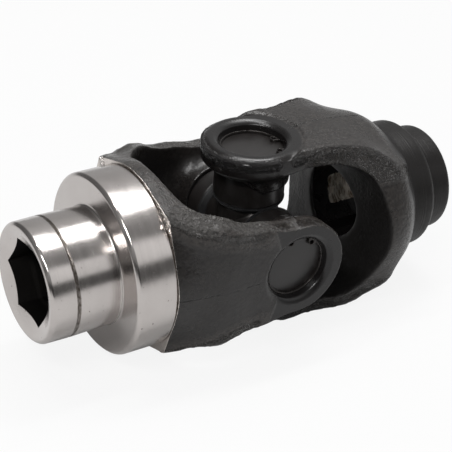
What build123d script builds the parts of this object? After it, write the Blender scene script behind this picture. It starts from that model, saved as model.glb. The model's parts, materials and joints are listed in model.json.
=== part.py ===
from build123d import *
import math
import os

# Universal joint shaft: a hex-socket hub, two forged yokes and a needle-bearing cross between them.
# Millimetres. The origin is the centre of the hex hub's front face. +X runs along the shaft to the
# keyed rear bore, +Z along the rear yoke's pin axis and Y along the front yoke's pin axis.

# Hex hub, turned from bar
hub_dia = 36.0
hub_chamfer = 0.6
collar_dia = 55.6
collar_front_x = 23.1
collar_back_x = 35.4
collar_chamfer = 0.5
collar_fillet = 1.2
groove_x = 7.9
groove_width = 1.0
groove_depth = 0.7
hex_across_flats = 24.0
hex_lead_radius = 14.8
hex_lead_deg = 23.0
spigot_dia = 32.0
spigot_length = 8.0

# Cross and bearings, 22 mm cups at 54 mm over the cups
cross_x = 77.4
cup_dia = 22.0
span_over_cups = 54.0
cup_length = 15.4
cup_floor = 2.0
cup_inner_radius = 9.395
trunnion_radius = 6.92
needle_radius = 1.225
needle_length = 10.4
needle_count = 20
washer_thickness = 1.0
end_play = 0.05
seal_lip_gap = 0.3
shoulder_height = 9.9
shoulder_radius = 9.2
body_radius = 9.7
grease_bore = 3.0

# Circlips and their grooves
circlip_thickness = 1.2
circlip_width = 1.35
circlip_groove_radius = 11.6
circlip_gap_deg = 32.0

# Yoke forging, seen from the cross centre with the hub towards +X and the pin axis along Z.
# The ears are milled flat up to a straight step, and the arm stays proud behind it.
ear_face = 31.1
arm_crown = 31.6
ear_step_x = 11.9
ear_reach = 16.1
ear_radius = 15.5
ear_mouth_radius = 11.45
boss_face = 17.3
boss_radius = 12.4
boss_flare = 6.5
passage_radius = 14.2
fork_gap = 25.2
fork_side_gap = 25.5
fork_depth = 33.6
fork_side_depth = 37.0
fork_bend_length = 15.6
fork_hollow = 1.4
front_face_distance = cross_x - collar_back_x

# Keyed hub at the rear yoke
hub_root = 44.0
rear_hub_dia = 43.0
rear_hub_end = 61.1
rear_nose_dia = 35.5
rear_nose_end = 70.3
rear_bore_dia = 25.0
keyway_width = 8.0
keyway_height = 28.3

# Cutters reach this far, past every part of a forging, and bores start in the open fork.
cutter_size = 60.0
bore_start = 25.0

half_span = span_over_cups / 2
needle_pitch_radius = trunnion_radius + needle_radius + 0.015


def ring(outer, inner, low, high):
    # A plain ring about Z from one height to another.
    centred = (Align.CENTER, Align.CENTER, Align.MIN)
    body = Pos(0, 0, low) * Cylinder(outer, high - low, align=centred)
    if inner > 0:
        body -= Pos(0, 0, low) * Cylinder(inner, high - low, align=centred)
    return body


def along_x(body):
    # Turns a body built about Z so that its axis runs along X.
    return Rot(0, 90, 0) * body


def turned(points, axis=Axis.Z):
    # A turned solid from its half profile, given as radius and height.
    return revolve(Plane.XZ * make_face(Polyline(*points, close=True)), axis)


def yoke_section(x, crown, shoulder, corner, flank, side):
    # One outline across the forging: two crowned arm faces, four sloping flanks and two round sides.
    # Each point is (width, arm height); the outline is the same after a half turn.
    face = [(-corner[0], corner[1]), (-shoulder[0], shoulder[1]), (0, crown), shoulder, corner]
    flanks = [corner, flank, (side, 0), (flank[0], -flank[1]), (corner[0], -corner[1])]
    edges = []
    for turn in (1, -1):
        arm = [(turn * w, turn * a) for w, a in face]
        edge = [(turn * w, turn * a) for w, a in flanks]
        edges.append(Spline(*arm))
        edges.append(Line(edge[0], edge[1]))
        edges.append(ThreePointArc(edge[1], edge[2], edge[3]))
        edges.append(Line(edge[3], edge[4]))
    plane = Plane(origin=(x, 0, 0), x_dir=(0, 1, 0), z_dir=(1, 0, 0))
    return plane * make_face(Wire(edges))


def forged_outside():
    # The arms run straight from the ears, then flare into a round base that falls to the hub.
    straight = (arm_crown, (9.0, arm_crown), (15.4, 31.0), (19.0, 10.0), 19.6)
    arm = [yoke_section(x, *straight) for x in (-18, -9, 0, 7, 14)]
    base = [
        yoke_section(22, arm_crown, (9.0, 31.5), (16.7, 31.0), (22.4, 10.0), 23.4),
        yoke_section(30, 31.2, (10.0, 30.8), (19.2, 30.0), (26.0, 10.0), 27.6),
        yoke_section(36.5, 30.2, (11.5, 28.6), (20.8, 26.9), (27.2, 10.2), 29.2),
        yoke_section(41.9, 29.1, (15.0, 24.9), (23.6, 21.6), (27.4, 10.3), 29.3),
        yoke_section(46.5, 26.3, (13.0, 22.8), (20.6, 19.8), (25.6, 9.8), 27.4),
        yoke_section(51, 21.6, (10.6, 18.9), (15.9, 14.6), (19.5, 9.2), 21.6),
    ]
    outside = loft(arm + base) & Box(2 * cutter_size, cutter_size, 2 * arm_crown)
    tip = Pos(ear_radius - ear_reach, 0) * Circle(ear_radius)
    plan = tip + Pos(cutter_size / 2, 0) * Rectangle(cutter_size, cutter_size)
    return outside & extrude(plan, cutter_size, both=True)


def fork_profile(y, depth, gap):
    # The U between the arms at one distance from the middle plane: a round corner at each arm and a
    # slightly hollow floor.
    bend_start = depth - fork_bend_length
    bend_end = depth - fork_hollow
    rise = 0.555 * gap
    corner = TangentArc((bend_start, gap), (bend_end, rise), tangent=(1, 0))
    floor = ThreePointArc((bend_end, rise), (depth, 0), (bend_end, -rise))
    low_corner = TangentArc((bend_start, -gap), (bend_end, -rise), tangent=(1, 0))
    open_end = -cutter_size / 2
    mouth = Polyline((bend_start, -gap), (open_end, -gap), (open_end, gap), (bend_start, gap))
    plane = Plane(origin=(0, y, 0), x_dir=(1, 0, 0), z_dir=(0, -1, 0))
    return plane * make_face(Wire([corner, floor, low_corner, *mouth.edges()]))


def fork_cut():
    # The floor of the U is crowned: deepest at the flanks, where the forging is open.
    side = cutter_size / 2
    profiles = [
        fork_profile(-side, fork_side_depth, fork_side_gap),
        fork_profile(0, fork_depth, fork_gap),
        fork_profile(side, fork_side_depth, fork_side_gap),
    ]
    return loft(profiles)


def milled_flats():
    # What the mill takes off both ears, from beyond their tips to the step.
    place = Pos(ear_step_x - cutter_size / 2, 0, ear_face + cutter_size / 2)
    flat = place * Box(cutter_size, cutter_size, cutter_size)
    return flat + mirror(flat, Plane.XY)


def bearing_boss():
    # The boss round a cup flares into the arm, and its lower edge rises towards the tip of the ear.
    root = fork_gap + 2
    skirt = boss_radius + boss_flare
    mid = boss_flare * (1 - math.sqrt(0.5))
    flare = ThreePointArc(
        (boss_radius, fork_gap - boss_flare), (boss_radius + mid, fork_gap - mid), (skirt, fork_gap)
    )
    rest = Polyline(
        (skirt, fork_gap), (skirt, root), (0, root), (0, boss_face), (boss_radius, boss_face),
        (boss_radius, fork_gap - boss_flare),
    )
    boss = revolve(Plane.XZ * make_face(Wire([flare, *rest.edges()])), Axis.Z)
    relief = Polyline(
        (-2.8, boss_face),
        (-8.8, boss_face + 4.7),
        (-cutter_size / 2, boss_face + 6.5),
        (-cutter_size / 2, 0),
        (-2.8, 0),
        close=True,
    )
    return boss - extrude(Plane.XZ * make_face(relief), cutter_size, both=True)


def yoke_forging():
    outside = forged_outside()
    body = outside - fork_cut() - milled_flats()
    boss = bearing_boss() & outside
    return body + boss + mirror(boss, Plane.XY)


def cup_bores():
    # Both cup bores in one cutter, with a circlip groove and a bevelled mouth in each ear.
    radius = cup_dia / 2
    bevel = ear_mouth_radius - radius
    groove_top = half_span + circlip_thickness + 0.1
    top = turned([
        (0, 0),
        (radius, 0),
        (radius, half_span),
        (circlip_groove_radius, half_span),
        (circlip_groove_radius, groove_top),
        (radius, groove_top),
        (radius, ear_face - bevel),
        (ear_mouth_radius + bevel, ear_face + bevel),
        (0, ear_face + bevel),
    ])
    return top + mirror(top, Plane.XY)


def make_rear_yoke():
    # The forging keeps its hub, bored and keyed for a shaft.
    step = 1.5
    hub = turned([
        (0, hub_root),
        (rear_hub_dia / 2, hub_root),
        (rear_hub_dia / 2, rear_hub_end - step),
        (rear_hub_dia / 2 - step, rear_hub_end),
        (rear_nose_dia / 2, rear_hub_end),
        (rear_nose_dia / 2, rear_nose_end - 1),
        (rear_nose_dia / 2 - 1, rear_nose_end),
        (0, rear_nose_end),
    ])
    body = yoke_forging() + along_x(hub) - cup_bores()
    bore_radius = rear_bore_dia / 2
    bore = turned([
        (0, bore_start),
        (bore_radius, bore_start),
        (bore_radius, rear_nose_end - 1),
        (bore_radius + 1, rear_nose_end),
        (bore_radius + 1, rear_nose_end + 1),
        (0, rear_nose_end + 1),
    ])
    body -= along_x(bore)
    key_reach = keyway_height - bore_radius
    keyway_middle = (fork_depth + rear_nose_end) / 2
    keyway = Pos(keyway_middle, 0, -key_reach / 2) * Box(cutter_size, keyway_width, key_reach)
    return body - keyway


def make_front_yoke():
    # The same forging with its hub turned away: faced flat, and bored for the hex hub's spigot.
    body = yoke_forging() - cup_bores()
    kept = 2 * cutter_size
    body &= Pos(front_face_distance - kept / 2, 0, 0) * Box(kept, kept, kept)
    seat = ring(spigot_dia / 2, 0, front_face_distance - spigot_length, front_face_distance)
    passage = ring(passage_radius, 0, bore_start, front_face_distance)
    return body - along_x(seat) - along_x(passage)


def make_hex_hub():
    radius = hub_dia / 2
    collar = collar_dia / 2
    profile = turned([
        (0, 0),
        (radius - hub_chamfer, 0),
        (radius, hub_chamfer),
        (radius, groove_x - groove_width / 2),
        (radius - groove_depth, groove_x - groove_width / 2),
        (radius - groove_depth, groove_x + groove_width / 2),
        (radius, groove_x + groove_width / 2),
        (radius, collar_front_x),
        (collar - collar_chamfer, collar_front_x),
        (collar, collar_front_x + collar_chamfer),
        (collar, collar_back_x - collar_chamfer),
        (collar - collar_chamfer, collar_back_x),
        (spigot_dia / 2, collar_back_x),
        (spigot_dia / 2, collar_back_x + spigot_length - 1),
        (spigot_dia / 2 - 0.8, collar_back_x + spigot_length),
        (0, collar_back_x + spigot_length),
    ])
    root = profile.edges().filter_by(GeomType.CIRCLE)
    root = [e for e in root if abs(e.radius - radius) < 1e-3 and abs(e.center().Z - collar_front_x) < 1e-3]
    profile = fillet(root, collar_fillet)
    flat_radius = hex_across_flats / 2
    socket = extrude(RegularPolygon(flat_radius, 6, major_radius=False), cutter_size)
    lead_depth = (hex_lead_radius - flat_radius) * math.tan(math.radians(hex_lead_deg))
    lead = turned([(0, 0), (hex_lead_radius, 0), (flat_radius, lead_depth), (0, lead_depth)])
    return along_x(profile - socket - lead)


def make_cross():
    # Four trunnions on a drafted body, drilled through both ways for grease.
    tip = half_span - cup_floor - washer_thickness - end_play
    edge = 0.8
    root = 0.6
    arm = turned([
        (0, 0),
        (body_radius, 0),
        (shoulder_radius, shoulder_height - edge),
        (shoulder_radius - edge, shoulder_height),
        (trunnion_radius + root, shoulder_height),
        (trunnion_radius, shoulder_height + root),
        (trunnion_radius, tip - edge),
        (trunnion_radius - edge, tip),
        (grease_bore / 2 + edge, tip),
        (grease_bore / 2, tip - edge),
        (0, tip - edge),
    ])
    arms = [Rot(angle, 0, 0) * arm for angle in (0, 90, 180, 270)]
    cross = arms[0] + arms[1] + arms[2] + arms[3]
    drill = Cylinder(grease_bore / 2, cutter_size)
    return cross - drill - Rot(90, 0, 0) * drill


def make_cup():
    top = half_span
    bottom = half_span - cup_length
    radius = cup_dia / 2
    edge = 0.7
    lip = 0.3
    return turned([
        (0, top),
        (radius - edge, top),
        (radius, top - edge),
        (radius, bottom + edge),
        (radius - edge, bottom),
        (cup_inner_radius + lip, bottom),
        (cup_inner_radius, bottom + lip),
        (cup_inner_radius, top - cup_floor),
        (0, top - cup_floor),
    ])


def make_washer():
    high = half_span - cup_floor
    return ring(cup_inner_radius - 0.1, 2.0, high - washer_thickness, high)


def make_needles():
    end_gap = 0.4
    high = half_span - cup_floor - washer_thickness - end_gap
    needle = Pos(needle_pitch_radius, 0, 0) * ring(needle_radius, 0, high - needle_length, high)
    step = 360 / needle_count
    return Compound(children=[Rot(0, 0, n * step) * needle for n in range(needle_count)])


def make_seal():
    # A rubber ring in the mouth of the cup, with a lip that covers its rim.
    mouth = half_span - cup_length
    low = shoulder_height + seal_lip_gap
    return turned([
        (trunnion_radius + 0.08, low + 0.5),
        (trunnion_radius + 0.9, low),
        (low - 0.8, low),
        (cup_dia / 2 - 0.4, mouth - 0.3),
        (cup_dia / 2 - 0.4, mouth),
        (cup_inner_radius + 0.3, mouth),
        (cup_inner_radius, mouth + 0.3),
        (cup_inner_radius, mouth + 1.2),
        (trunnion_radius + 0.08, mouth + 1.2),
    ])


def make_circlip():
    # An open ring in the groove above the cup, with two drilled plier lugs turned inwards.
    outer = circlip_groove_radius - 0.05
    inner = cup_dia / 2 - circlip_width
    low = half_span
    high = low + circlip_thickness
    half_gap = math.radians(circlip_gap_deg / 2)
    reach = 2 * outer
    wedge = make_face(
        Polyline(
            (0, 0),
            (reach * math.cos(half_gap), reach * math.sin(half_gap)),
            (reach * math.cos(half_gap), -reach * math.sin(half_gap)),
            close=True,
        )
    )
    opening = Pos(0, 0, low) * extrude(wedge, circlip_thickness)
    body = ring(outer, inner, low, high) - opening
    lug_radius = 1.9
    lug_place = inner - 0.4
    lug_angle = circlip_gap_deg / 2 + 10.5
    for side in (1, -1):
        lug = Rot(0, 0, side * lug_angle) * Pos(lug_place, 0, 0) * ring(lug_radius, 0, low, high)
        body += lug & ring(outer, 0, low, high)
    for side in (1, -1):
        body -= Rot(0, 0, side * lug_angle) * Pos(lug_place - 0.6, 0, 0) * ring(0.8, 0, low, high)
    return body


def place_front(body):
    # The front yoke opens towards the rear: half a turn about Z, then its pin axis laid along Y.
    return Pos(cross_x, 0, 0) * Rot(90, 0, 0) * Rot(0, 0, 180) * body


def place_rear(body):
    return Pos(cross_x, 0, 0) * body


def bearing_pieces():
    return {
        "cup": make_cup(),
        "washer": make_washer(),
        "needles": make_needles(),
        "seal": make_seal(),
        "circlip": make_circlip(),
    }


def main():
    os.makedirs("parts", exist_ok=True)
    nodes = {
        "hex_hub": make_hex_hub(),
        "front_yoke": place_front(make_front_yoke()),
        "rear_yoke": place_rear(make_rear_yoke()),
        "cross": Pos(cross_x, 0, 0) * make_cross(),
    }
    # Each ear holds one bearing: the turn about X points it along its arm, and the turn about its
    # own axis sets where the circlip's gap lies.
    ears = {"front_near": (90, 78), "front_far": (-90, 64), "rear_top": (0, -19), "rear_bottom": (180, 24)}
    pieces = bearing_pieces()
    for ear, (tilt, gap_turn) in ears.items():
        for piece, body in pieces.items():
            nodes[f"{ear}_{piece}"] = Pos(cross_x, 0, 0) * Rot(tilt, 0, 0) * Rot(0, 0, gap_turn) * body
    for name, shape in nodes.items():
        export_step(shape, f"parts/{name}.step")
        print(name, round(shape.volume))


main()
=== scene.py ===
import json
import math
from functools import partial

import bmesh
import bpy
import numpy as np
from mathutils import Matrix, Vector


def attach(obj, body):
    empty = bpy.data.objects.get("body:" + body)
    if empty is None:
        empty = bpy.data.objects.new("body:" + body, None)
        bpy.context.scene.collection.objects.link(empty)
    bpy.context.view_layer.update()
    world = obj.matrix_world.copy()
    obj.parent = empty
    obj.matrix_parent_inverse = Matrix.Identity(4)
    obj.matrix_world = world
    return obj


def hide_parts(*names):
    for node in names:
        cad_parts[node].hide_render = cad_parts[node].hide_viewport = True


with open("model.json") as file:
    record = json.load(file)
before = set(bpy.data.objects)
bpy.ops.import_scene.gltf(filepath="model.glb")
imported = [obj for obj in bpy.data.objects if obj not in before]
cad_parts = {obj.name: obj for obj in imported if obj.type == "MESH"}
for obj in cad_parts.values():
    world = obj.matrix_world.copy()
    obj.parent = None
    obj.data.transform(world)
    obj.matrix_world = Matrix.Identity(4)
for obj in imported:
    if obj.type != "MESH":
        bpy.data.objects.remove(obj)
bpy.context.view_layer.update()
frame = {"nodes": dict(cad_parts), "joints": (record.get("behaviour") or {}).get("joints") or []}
nodes = frame["nodes"]
mm = 0.001
mergeGap = 0.001 * mm
pinCentre = Vector(frame["joints"][0]["pos_m"])
alongShaft = Matrix.Rotation(math.radians(90), 4, "Y")  # lays a piece made about Z along the shaft
print("frame loaded,", len(nodes), "nodes")


def addObject(name, data):
    thing = bpy.data.objects.new(name, data)
    bpy.context.scene.collection.objects.link(thing)
    return thing


def meshFrom(name, bm):
    mesh = bpy.data.meshes.new(name)
    bm.to_mesh(mesh)
    bm.free()
    return mesh


def closeSeams(bm):
    # merges seams and poles and turns the faces outwards
    bmesh.ops.remove_doubles(bm, verts=bm.verts, dist=mergeGap)
    bmesh.ops.dissolve_degenerate(bm, edges=bm.edges, dist=mergeGap)
    bmesh.ops.recalc_face_normals(bm, faces=bm.faces)
    return bm


def shadeRound(mesh, sharpAngle):
    # round faces shade smooth and edges past the angle stay sharp
    mesh.shade_smooth()
    mesh.set_sharp_from_angle(angle=math.radians(sharpAngle))


def linkPiece(name, mesh, sharpAngle=30):
    shadeRound(mesh, sharpAngle)
    return addObject(name, mesh)


def makePiece(name, bm, sharpAngle=30):
    return linkPiece(name, meshFrom(name, closeSeams(bm)), sharpAngle)


def roundedOutline(corners, steps=5):
    # corners are (height, radius, rounding) in mm; each rounded one becomes a short arc
    points = []
    for n, (height, radius, rounding) in enumerate(corners):
        here = Vector((height, radius))
        if rounding == 0:
            points.append(here)
            continue
        back = (Vector(corners[n - 1][:2]) - here).normalized()
        ahead = (Vector(corners[(n + 1) % len(corners)][:2]) - here).normalized()
        half = back.angle(ahead) / 2
        centre = here + (back + ahead).normalized() * rounding / math.sin(half)
        start = here + back * rounding / math.tan(half) - centre
        end = here + ahead * rounding / math.tan(half) - centre
        points += [centre + start.slerp(end, step / steps) for step in range(steps + 1)]
    return points


def spin(outlineAt, segments):
    # a closed outline turned about Z; outlineAt gives the outline at each angle
    bm = bmesh.new()
    columns = []
    for n in range(segments):
        angle = 2 * math.pi * n / segments
        column = []
        for height, radius in outlineAt(angle):
            place = (radius * math.cos(angle), radius * math.sin(angle), height)
            column.append(bm.verts.new(Vector(place) * mm))
        columns.append(column)
    rows = len(columns[0])
    for n, column in enumerate(columns):
        following = columns[(n + 1) % segments]
        for row in range(rows):
            up = (row + 1) % rows
            bm.faces.new((column[row], following[row], following[up], column[up]))
    return bm


def spinOutline(corners, segments=128):
    outline = roundedOutline(corners)
    return spin(lambda angle: outline, segments)


def boxMesh(low, high):
    bm = bmesh.new()
    bmesh.ops.create_cube(bm, size=1)
    for vert in bm.verts:
        share = vert.co + Vector((0.5, 0.5, 0.5))
        vert.co = Vector(a + (b - a) * s for a, b, s in zip(low, high, share)) * mm
    return bm


def joinInto(bm, other, matrix=None):
    # adds another bmesh to bm, moved by matrix
    mesh = meshFrom("joining", other)
    if matrix is not None:
        mesh.transform(matrix)
    bm.from_mesh(mesh)
    bpy.data.meshes.remove(mesh)


def convertedMesh(name, piece):
    # the piece with its modifiers worked out, as a plain mesh
    graph = bpy.context.evaluated_depsgraph_get()
    mesh = bpy.data.meshes.new_from_object(piece.evaluated_get(graph))
    mesh.name = name
    return mesh


def bmeshOf(piece):
    # the worked-out shape of a curve or a modified piece, which is then thrown away
    mesh = convertedMesh("shape", piece)
    bpy.data.objects.remove(piece)
    bm = bmesh.new()
    bm.from_mesh(mesh)
    bpy.data.meshes.remove(mesh)
    return bm


def voxelMesh(name, mesh, size):
    # joins overlapping closed shapes into one even skin of small squares
    rough = addObject(name, mesh)
    remesh = rough.modifiers.new("skin", "REMESH")
    remesh.mode = "VOXEL"
    remesh.voxel_size = size
    joined = convertedMesh(name, rough)
    bpy.data.objects.remove(rough)
    return joined


def cutAway(piece, cutters):
    # machining: each cutter is taken out of the piece, then thrown away
    for cutter in cutters:
        cut = piece.modifiers.new("cut", "BOOLEAN")
        cut.operation = "DIFFERENCE"
        cut.solver = "MANIFOLD"
        cut.object = cutter
    mesh = convertedMesh(piece.name, piece)
    piece.modifiers.clear()
    piece.data = mesh
    for cutter in cutters:
        bpy.data.objects.remove(cutter)


def meshPlaces(mesh):
    places = np.empty(len(mesh.vertices) * 3)
    mesh.vertices.foreach_get("co", places)
    return places.reshape(-1, 3)


def meshNormals(mesh):
    normals = np.empty(len(mesh.vertices) * 3, np.float32)
    mesh.vertices.foreach_get("normal", normals)
    return normals.reshape(-1, 3).astype(float)


def setPlaces(mesh, places):
    mesh.vertices.foreach_set("co", places.ravel())
    mesh.update()


def relax(mesh, rounds, pull=0.5):
    # moves each vertex towards its neighbours, which rounds edges as a forging die does
    edges = np.empty(len(mesh.edges) * 2, int)
    mesh.edges.foreach_get("vertices", edges)
    first, second = edges[0::2], edges[1::2]
    places = meshPlaces(mesh)
    count = len(places)
    neighbours = np.bincount(first, minlength=count) + np.bincount(second, minlength=count)
    for _ in range(rounds):
        mean = np.empty_like(places)
        for axis in range(3):
            column = places[:, axis]
            mean[:, axis] = (np.bincount(first, column[second], count)
                             + np.bincount(second, column[first], count))
        places += pull * (mean / neighbours[:, None] - places)
    setPlaces(mesh, places)


def softNoise(places, size, seed):
    # smooth value noise from -1 to 1 at each place, with lumps of about that size in mm
    cell = places / (size * mm) + seed * 17.3
    base = np.floor(cell).astype(int)
    part = cell - base
    part = part * part * (3 - 2 * part)
    total = np.zeros(len(places))
    for corner in np.ndindex(2, 2, 2):
        at = base + np.array(corner)
        mixed = (at[:, 0] * 73856093) ^ (at[:, 1] * 19349663) ^ (at[:, 2] * 83492791)
        value = ((mixed * 2654435761) & 0xFFFFFFFF) / 0xFFFFFFFF
        share = np.prod(np.where(np.array(corner) == 1, part, 1 - part), axis=1)
        total += share * value
    return total * 2 - 1


def fade(value, low, high):
    # zero at low, one at high, smooth between
    share = np.clip((value - low) / (high - low), 0, 1)
    return share * share * (3 - 2 * share)


def giveAttribute(mesh, name, values, kind="FLOAT", domain="POINT"):
    attribute = mesh.attributes.new(name, kind, domain)
    field = "vector" if kind == "FLOAT_VECTOR" else "value"
    attribute.data.foreach_set(field, np.asarray(values, np.float32).ravel())


def linear(colour):
    # an sRGB hex colour as linear RGBA
    channels = [int(colour[n:n + 2], 16) / 255 for n in (1, 3, 5)]
    return [c / 12.92 if c <= 0.04045 else ((c + 0.055) / 1.055) ** 2.4 for c in channels] + [1]


def addNode(tree, kind, inputs=None, **settings):
    # one node with its settings, a shader node unless kind says otherwise; each input takes a number, a
    # socket, or another node, whose first output in use it is then linked to
    node = tree.nodes.new(kind if kind.startswith(("Geometry", "Node")) else "ShaderNode" + kind)
    for name, value in settings.items():
        setattr(node, name, value)
    for name, value in (inputs or {}).items():
        if isinstance(value, bpy.types.Node):
            value = next(output for output in value.outputs if output.enabled)
        if isinstance(value, bpy.types.NodeSocket):
            tree.links.new(value, node.inputs[name])
        else:
            node.inputs[name].default_value = value
    return node


def emptied(owner):
    # clears the node tree of a material or world, and gives addNode bound to it
    owner.use_nodes = True
    owner.node_tree.nodes.clear()
    return partial(addNode, owner.node_tree)


def perMm(size):
    # the texture scale that gives a pattern of that size in mm
    return 1 / (size * mm)


# the hex hub is turned from bar and broached; sizes in mm from its front face
hub = {
    "radius": 18.0,
    "chamfer": 0.45,
    "grooveFront": 7.4,
    "grooveBack": 8.4,
    "grooveRadius": 17.3,
    "collarFront": 23.1,
    "collarBack": 35.4,
    "collarRadius": 27.8,
    "collarChamfer": 0.5,
    "rootFillet": 1.6,
    "spigotRadius": 16.0,
    "spigotEnd": 43.4,
    "hexFlat": 12.0,
    "leadRadius": 14.8,
    "leadDepth": 1.19,
    "segments": 192,
}

# turned bar steel, left bare: bright and slightly warm, drawn out along the axis by the rings that
# the tool cut, darker and browner in the groove and the corners, with painted shade down the broached socket
turnedSteel = {
    "colourHigh": "#CBC6C3",
    "colourLow": "#B5AFAC",
    "feed": 0.3,  # mm; feed marks are really 0.1 mm apart and are drawn wider so that they show
    "bands": 2.2,  # mm, where the tool sprang
    "patches": 9.0,  # mm, handling marks and thin oil
    "pits": 0.9,  # mm, grains that speckle the darker bands
    "specks": 1.4,  # mm, grains of dried coolant
    # the darker brown of the groove, the corners and the pits
    "darkTone": "#3A2F22",
    # painted shade laid down the broached socket's walls
    "socket": "#2A2827",
    "polish": 0.02,  # the roughness of clean steel, to which each layer below adds its share
    "ringRough": 0.14,
    "bandRough": 0.10,
    "patchRough": 0.14,
    "darkToneRough": 0.3,
    "socketRough": 0.3,
    "ringDepth": 0.02,  # mm
}


def bandMask(add, value, low, high, soft):
    # one between low and high, falling to zero over soft mm on both sides
    rise = add("MapRange", {"Value": value, "From Min": (low - soft) * mm, "From Max": low * mm})
    fall = add("MapRange", {"Value": value, "From Min": (high + soft) * mm, "From Max": high * mm})
    return add("Math", {0: rise, 1: fall}, operation="MULTIPLY")


def darkToneMask(add, place, along, radius):
    # darker and browner, speckled, in the groove, at the collar's root and along the joint with the yoke,
    # with pits all over
    specks = add("TexNoise", {
        "Vector": place, "Scale": perMm(turnedSteel["specks"]), "Detail": 5.0, "Roughness": 0.7})
    inGroove = bandMask(add, along, hub["grooveFront"], hub["grooveBack"], 0.25)
    atCollar = bandMask(add, along, hub["collarFront"] - 0.9, hub["collarFront"] + 0.05, 0.5)
    nearRoot = bandMask(add, radius, hub["radius"] - 0.5, hub["radius"] + 0.7, 0.5)
    atJoint = bandMask(add, along, hub["collarBack"] - 0.35, hub["collarBack"] + 1, 0.25)
    corner = add("Math", {0: atCollar, 1: nearRoot}, operation="MULTIPLY")
    lined = add("Math", {0: corner, 1: 0.55, 2: atJoint}, operation="MULTIPLY_ADD")
    lined = add("Math", {0: inGroove, 1: 0.9, 2: lined}, operation="MULTIPLY_ADD")
    speckled = add("MapRange", {
        "Value": specks, "From Min": 0.3, "From Max": 0.6, "To Min": 0.45, "To Max": 1.0})
    darkTone = add("Math", {0: lined, 1: speckled}, operation="MULTIPLY", use_clamp=True)
    knocks = add("TexNoise", {"Vector": place, "Scale": perMm(turnedSteel["pits"]), "Detail": 1.0})
    pits = add("MapRange", {"Value": knocks, "From Min": 0.74, "From Max": 0.80, "To Max": 0.6})
    return add("Math", {0: darkTone, 1: pits}, operation="MAXIMUM")


def socketMask(add, along, radius):
    # zero on the bright turned lead cone, and one past it down the broached walls, which take the painted
    # shade
    slope = hub["leadDepth"] / (hub["leadRadius"] - hub["hexFlat"])
    coneAt = slope * hub["leadRadius"]
    inside = add("MapRange", {
        "Value": radius, "From Min": (hub["leadRadius"] - 0.05) * mm,
        "From Max": (hub["leadRadius"] - 0.15) * mm})
    pastLead = add("Math", {0: radius, 1: slope, 2: along}, operation="MULTIPLY_ADD")
    deep = add("MapRange", {
        "Value": pastLead, "From Min": (coneAt + 0.04) * mm, "From Max": (coneAt + 0.14) * mm})
    return add("Math", {0: inside, 1: deep}, operation="MULTIPLY")


def turnedBarSteel():
    material = bpy.data.materials.new("turnedBarSteel")
    add = emptied(material)
    place = add("TexCoord").outputs["Object"]
    axes = add("SeparateXYZ", {0: place}).outputs
    ySquared = add("Math", {0: axes["Y"], 1: axes["Y"]}, operation="MULTIPLY")
    out = add("Math", {0: axes["Z"], 1: axes["Z"], 2: ySquared}, operation="MULTIPLY_ADD")
    radius = add("Math", {0: out}, operation="SQRT")
    feed = add("Math", {0: axes["X"], 1: radius}, operation="ADD")
    rings, bands = [add("TexNoise", {"W": feed, "Scale": perMm(turnedSteel[name]), "Detail": detail},
                            noise_dimensions="1D") for name, detail in (("feed", 2.0), ("bands", 3.0))]
    patches = add("TexNoise", {
        "Vector": place, "Scale": perMm(turnedSteel["patches"]), "Detail": 5.0, "Roughness": 0.6})
    darkTone = darkToneMask(add, place, axes["X"], radius)
    socket = socketMask(add, axes["X"], radius)
    colour = add("Mix", {
        "Factor": patches, "A": linear(turnedSteel["colourLow"]), "B": linear(turnedSteel["colourHigh"])},
        data_type="RGBA")
    # a darker brown in the creases and pits, then painted shade down the socket
    for mask, layer in ((darkTone, "darkTone"), (socket, "socket")):
        colour = add("Mix", {
            "Factor": mask, "A": colour, "B": linear(turnedSteel[layer])}, data_type="RGBA")
    rough = turnedSteel["polish"]
    for mask, layer in ((rings, "ringRough"), (bands, "bandRough"), (patches, "patchRough"),
                        (darkTone, "darkToneRough"), (socket, "socketRough")):
        rough = add("Math", {0: mask, 1: turnedSteel[layer], 2: rough}, operation="MULTIPLY_ADD")
    bump = add("Bump", {"Height": rings, "Strength": 0.6, "Distance": turnedSteel["ringDepth"] * mm})
    tangent = add("Tangent", direction_type="RADIAL", axis="X")
    shader = add("BsdfPrincipled", {
        "Base Color": colour, "Metallic": 1.0, "Roughness": rough, "Normal": bump, "Anisotropic": 0.5,
        "Anisotropic Rotation": 0.25, "Tangent": tangent})
    add("OutputMaterial", {"Surface": shader})
    return material


# black alkyd enamel sprayed over a shot-blasted forging: a soft warm gloss with the grain of the scale
# standing under it, wet glints along the torn flash, tool rings on the hub, bare steel where machined
paint = {
    "colour": "#121010",
    "colourWorn": "#3A3633",
    "grain": 1.1,  # mm, blasted scale, drawn about twice as wide as it is so that it shows
    "grainDepth": 0.42,
    "lumps": 7.0,  # mm, die wear
    "lumpDepth": 0.30,
    "torn": 1.7,  # mm, where the flash tore
    "tornDepth": 0.9,
    # painted sheen: the pale grey laid on the flash's land
    "land": "#484644",
    "shadeAndSeam": "#181615",  # near black: painted shade inside the fork and on the hub, and the parting line's bead
    "shadeAndSeamMetal": 0.5,
    "shadeAndSeamRough": 0.22,  # what the painted shade and the seam add to the roughness
    "seamWidth": 0.40,  # mm, half of the parting line
    "seamDepth": 0.35,
    "seamWander": 1.2,  # mm, from side to side
    "beads": 1.6,  # mm, the pieces that the parting line breaks into
    "toolRings": 0.7,  # mm, on the turned hub
    "ringDepth": 0.09,
    "hubFrom": 47.0,  # mm from the pin centre
    "hubShade": 0.8,  # how strongly the painted shade darkens the hub
    "glossLow": 0.22,
    "glossHigh": 0.34,
    "wet": 0.07,  # roughness where the paint pooled on the flash
}

# bare steel on the forging: bright where it was faced, rust-streaked on the wall of the bore
bareSteel = {
    "faced": "#CFC8C3",
    "rustLow": "#5A4936",
    "rustHigh": "#C9C1B4",
    "edge": 1.6,  # mm, the ragged edge of the overspray
    "streaks": 0.9,  # mm across, and four times as long round the bore
    "rustDull": 0.7,
}


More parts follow.
